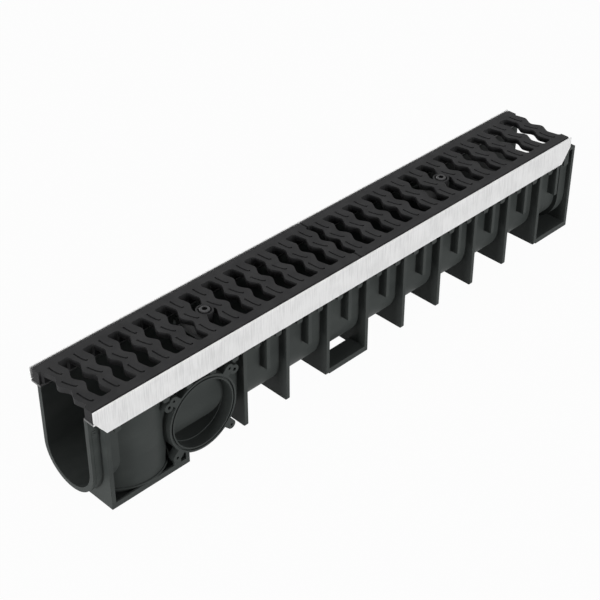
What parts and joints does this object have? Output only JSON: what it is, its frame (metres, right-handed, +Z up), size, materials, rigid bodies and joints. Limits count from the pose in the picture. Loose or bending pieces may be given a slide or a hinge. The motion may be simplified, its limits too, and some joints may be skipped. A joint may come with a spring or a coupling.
{
  "type": "channel drain",
  "caption": "Linear drainage channel: ribbed plastic trough with a side outlet spigot, steel edge rails and bolted cast gratings with wavy slots.",
  "frame": {"origin": "middle of the channel's length and width at the level of the base", "axes": "+X along the channel from the collar to the socket, +Z up, side outlet on -Y"},
  "size_m": [1.017, 0.136, 0.182],
  "materials": {
    "moulded_plastic": "matte",
    "galvanised_rail": "brushed",
    "grating_iron": "matte",
    "bar_steel": "satin",
    "bolt_steel": "satin"
  },
  "bodies": {
    "root": {"channel_body": "moulded_plastic", "edge_rail_front": "galvanised_rail", "edge_rail_back": "galvanised_rail", "grating_near": "grating_iron", "grating_far": "grating_iron", "crossbar_near": "bar_steel", "crossbar_far": "bar_steel", "grating_bolt_near": "bolt_steel", "grating_bolt_far": "bolt_steel"}
  },
  "joints": []
}
